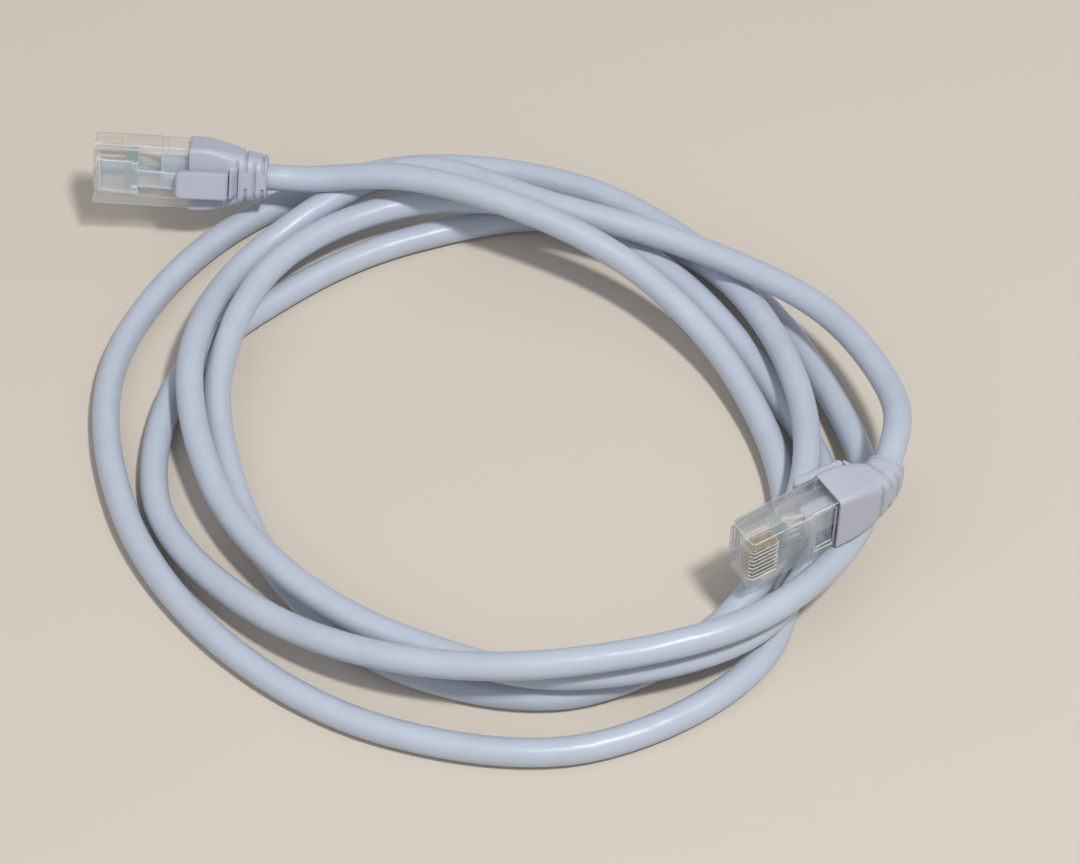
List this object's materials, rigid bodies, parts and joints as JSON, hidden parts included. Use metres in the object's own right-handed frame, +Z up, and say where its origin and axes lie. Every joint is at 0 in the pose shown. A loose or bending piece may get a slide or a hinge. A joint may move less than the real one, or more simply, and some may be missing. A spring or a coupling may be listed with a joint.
{
  "type": "ethernet patch cable",
  "caption": "Loosely coiled network patch cable with a clear modular plug on each end, a ribbed strain-relief boot and a springy latch guard over each plug's latch.",
  "frame": {"origin": "on the surface the coil lies on, under the middle of the whole part's box", "axes": "+Z up; +X along the longest side of the box, from the plug that lies at the coil's left towards the plug at its right; +Y towards the coil's far side"},
  "size_m": [0.1486, 0.1401, 0.0259],
  "materials": {
    "jacket": "satin pvc",
    "boot": "soft moulded, satin",
    "clear_plastic": "clear polycarbonate",
    "load_bar": "translucent",
    "contacts": "gold plated",
    "wire_white_orange": "insulation",
    "wire_orange": "insulation",
    "wire_white_green": "insulation",
    "wire_blue": "insulation",
    "wire_white_blue": "insulation",
    "wire_green": "insulation",
    "wire_white_brown": "insulation",
    "wire_brown": "insulation"
  },
  "bodies": {
    "cable": {"cable_jacket": "jacket", "jacket_end_a": "jacket", "plug_a_body": "clear_plastic", "plug_a_load_bar": "load_bar", "boot_a": "boot", "plug_a_contact_1": "contacts", "plug_a_contact_2": "contacts", "plug_a_contact_3": "contacts", "plug_a_contact_4": "contacts", "plug_a_contact_5": "contacts", "plug_a_contact_6": "contacts", "plug_a_contact_7": "contacts", "plug_a_contact_8": "contacts", "plug_a_wire_1": "wire_white_orange", "plug_a_wire_2": "wire_orange", "plug_a_wire_3": "wire_white_green", "plug_a_wire_4": "wire_blue", "plug_a_wire_5": "wire_white_blue", "plug_a_wire_6": "wire_green", "plug_a_wire_7": "wire_white_brown", "plug_a_wire_8": "wire_brown", "jacket_end_b": "jacket", "plug_b_body": "clear_plastic", "plug_b_load_bar": "load_bar", "boot_b": "boot", "plug_b_contact_1": "contacts", "plug_b_contact_2": "contacts", "plug_b_contact_3": "contacts", "plug_b_contact_4": "contacts", "plug_b_contact_5": "contacts", "plug_b_contact_6": "contacts", "plug_b_contact_7": "contacts", "plug_b_contact_8": "contacts", "plug_b_wire_1": "wire_white_orange", "plug_b_wire_2": "wire_orange", "plug_b_wire_3": "wire_white_green", "plug_b_wire_4": "wire_blue", "plug_b_wire_5": "wire_white_blue", "plug_b_wire_6": "wire_green", "plug_b_wire_7": "wire_white_brown", "plug_b_wire_8": "wire_brown"},
    "guard_a": {"boot_a_guard": "boot"},
    "latch_a": {"plug_a_latch": "clear_plastic"},
    "guard_b": {"boot_b_guard": "boot"},
    "latch_b": {"plug_b_latch": "clear_plastic"}
  },
  "joints": [
    {"name": "guard_a_press", "type": "hinge", "parent": "cable", "child": "guard_a", "pos_m": [-0.04937, 0.05001, 0.01655], "axis": [-0.0703, -0.4372, -0.8966], "range_deg": [0, 7.5], "stiffness_Nm_per_rad": 0.05},
    {"name": "latch_a_press", "type": "hinge", "parent": "cable", "child": "latch_a", "pos_m": [-0.07185, 0.05261, 0.01704], "axis": [0.0703, 0.4372, 0.8966], "range_deg": [0, 4.65], "stiffness_Nm_per_rad": 0.03},
    {"name": "guard_b_press", "type": "hinge", "parent": "cable", "child": "guard_b", "pos_m": [0.06104, -0.02158, 0.01957], "axis": [0.0148, 0.0092, 0.9998], "range_deg": [0, 7.5], "stiffness_Nm_per_rad": 0.05},
    {"name": "latch_b_press", "type": "hinge", "parent": "cable", "child": "latch_b", "pos_m": [0.04326, -0.03558, 0.01997], "axis": [-0.0148, -0.0092, -0.9998], "range_deg": [0, 4.65], "stiffness_Nm_per_rad": 0.03}
  ],
  "couplings": [
    {"joint": "latch_a_press", "follows": "guard_a_press", "ratio": 0.62},
    {"joint": "latch_b_press", "follows": "guard_b_press", "ratio": 0.62}
  ]
}
